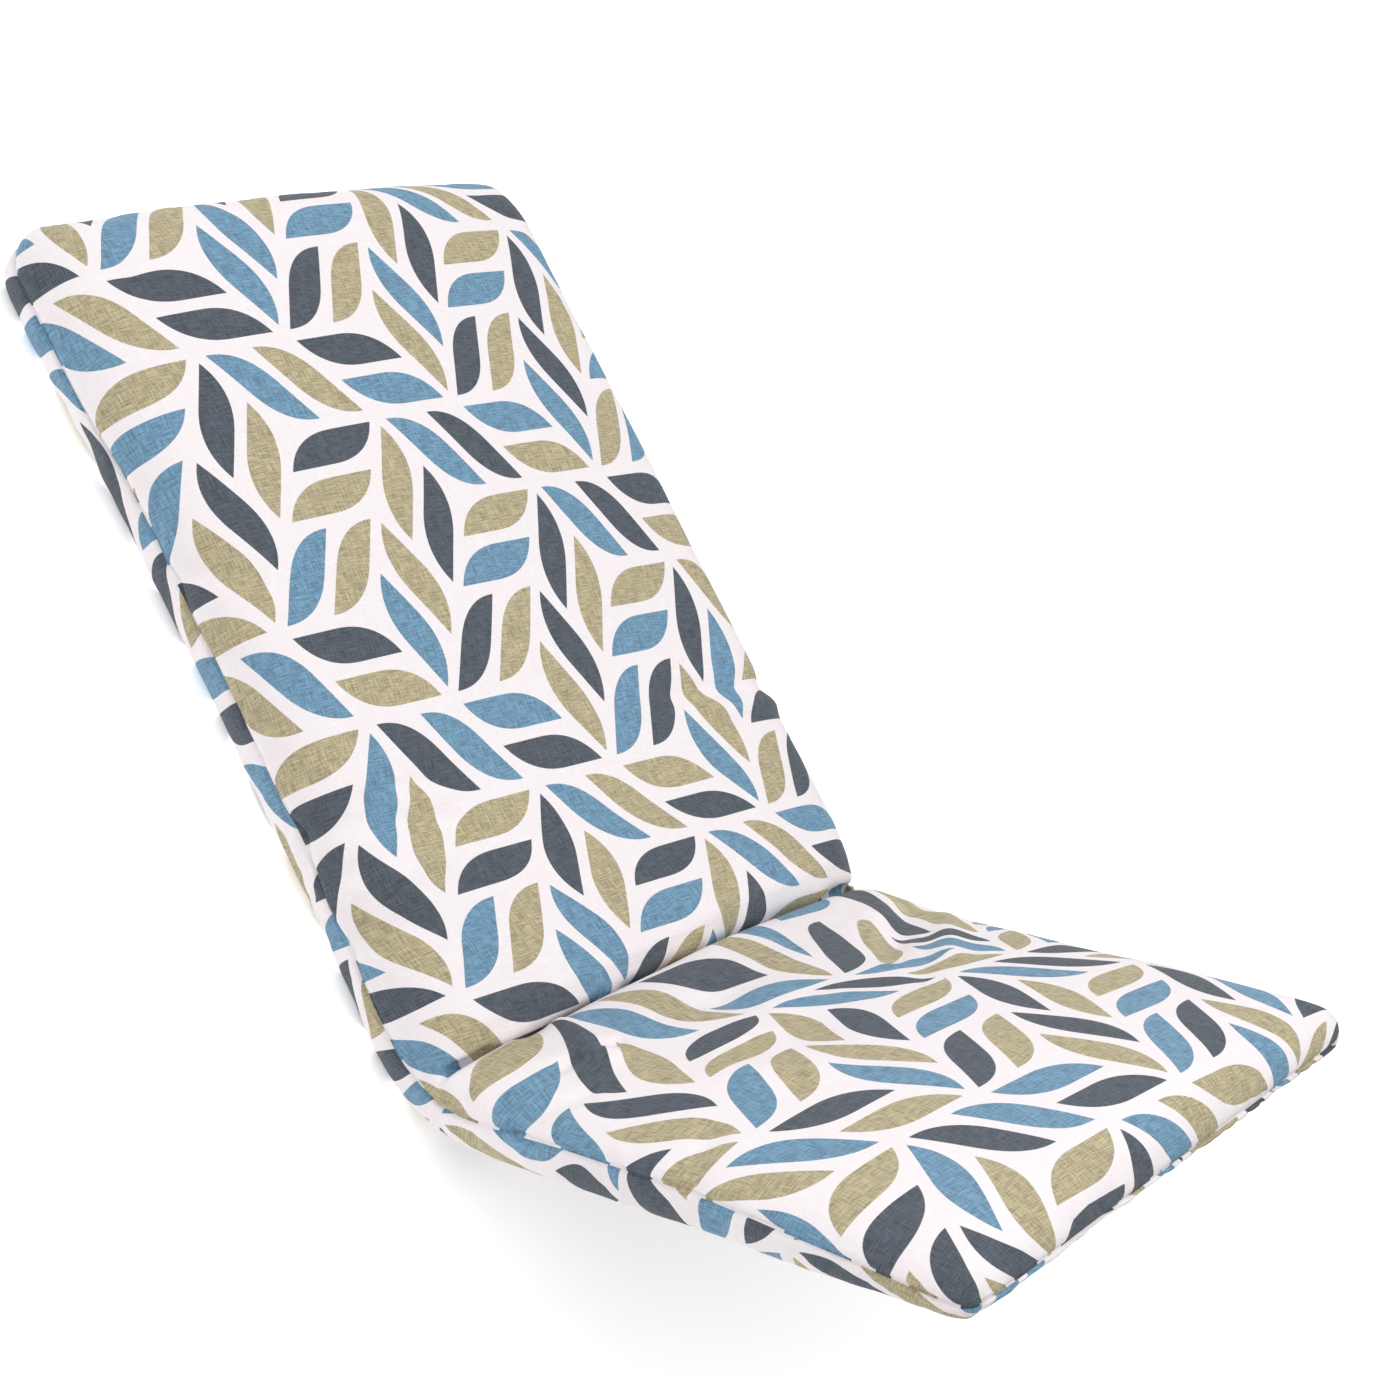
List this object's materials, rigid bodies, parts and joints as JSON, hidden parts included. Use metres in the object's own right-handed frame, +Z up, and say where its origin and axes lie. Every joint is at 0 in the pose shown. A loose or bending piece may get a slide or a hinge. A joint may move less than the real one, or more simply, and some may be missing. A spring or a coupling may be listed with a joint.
{
  "type": "sun lounger cushion",
  "caption": "Filled lounger pad in leaf-print cotton, bent once between its long back section and its short seat section.",
  "frame": {"origin": "centre of the bounding box's base, on the flat underside of the back section", "axes": "+Y along the back section towards its top edge, +X across the width to the right as seen facing the printed face, +Z up from the underside to the printed face"},
  "size_m": [0.4986, 0.9, 0.3774],
  "materials": {
    "printed_cotton": "matte plain-woven cotton with a printed leaf repeat"
  },
  "bodies": {
    "root": {"cushion": "printed_cotton"}
  },
  "joints": []
}
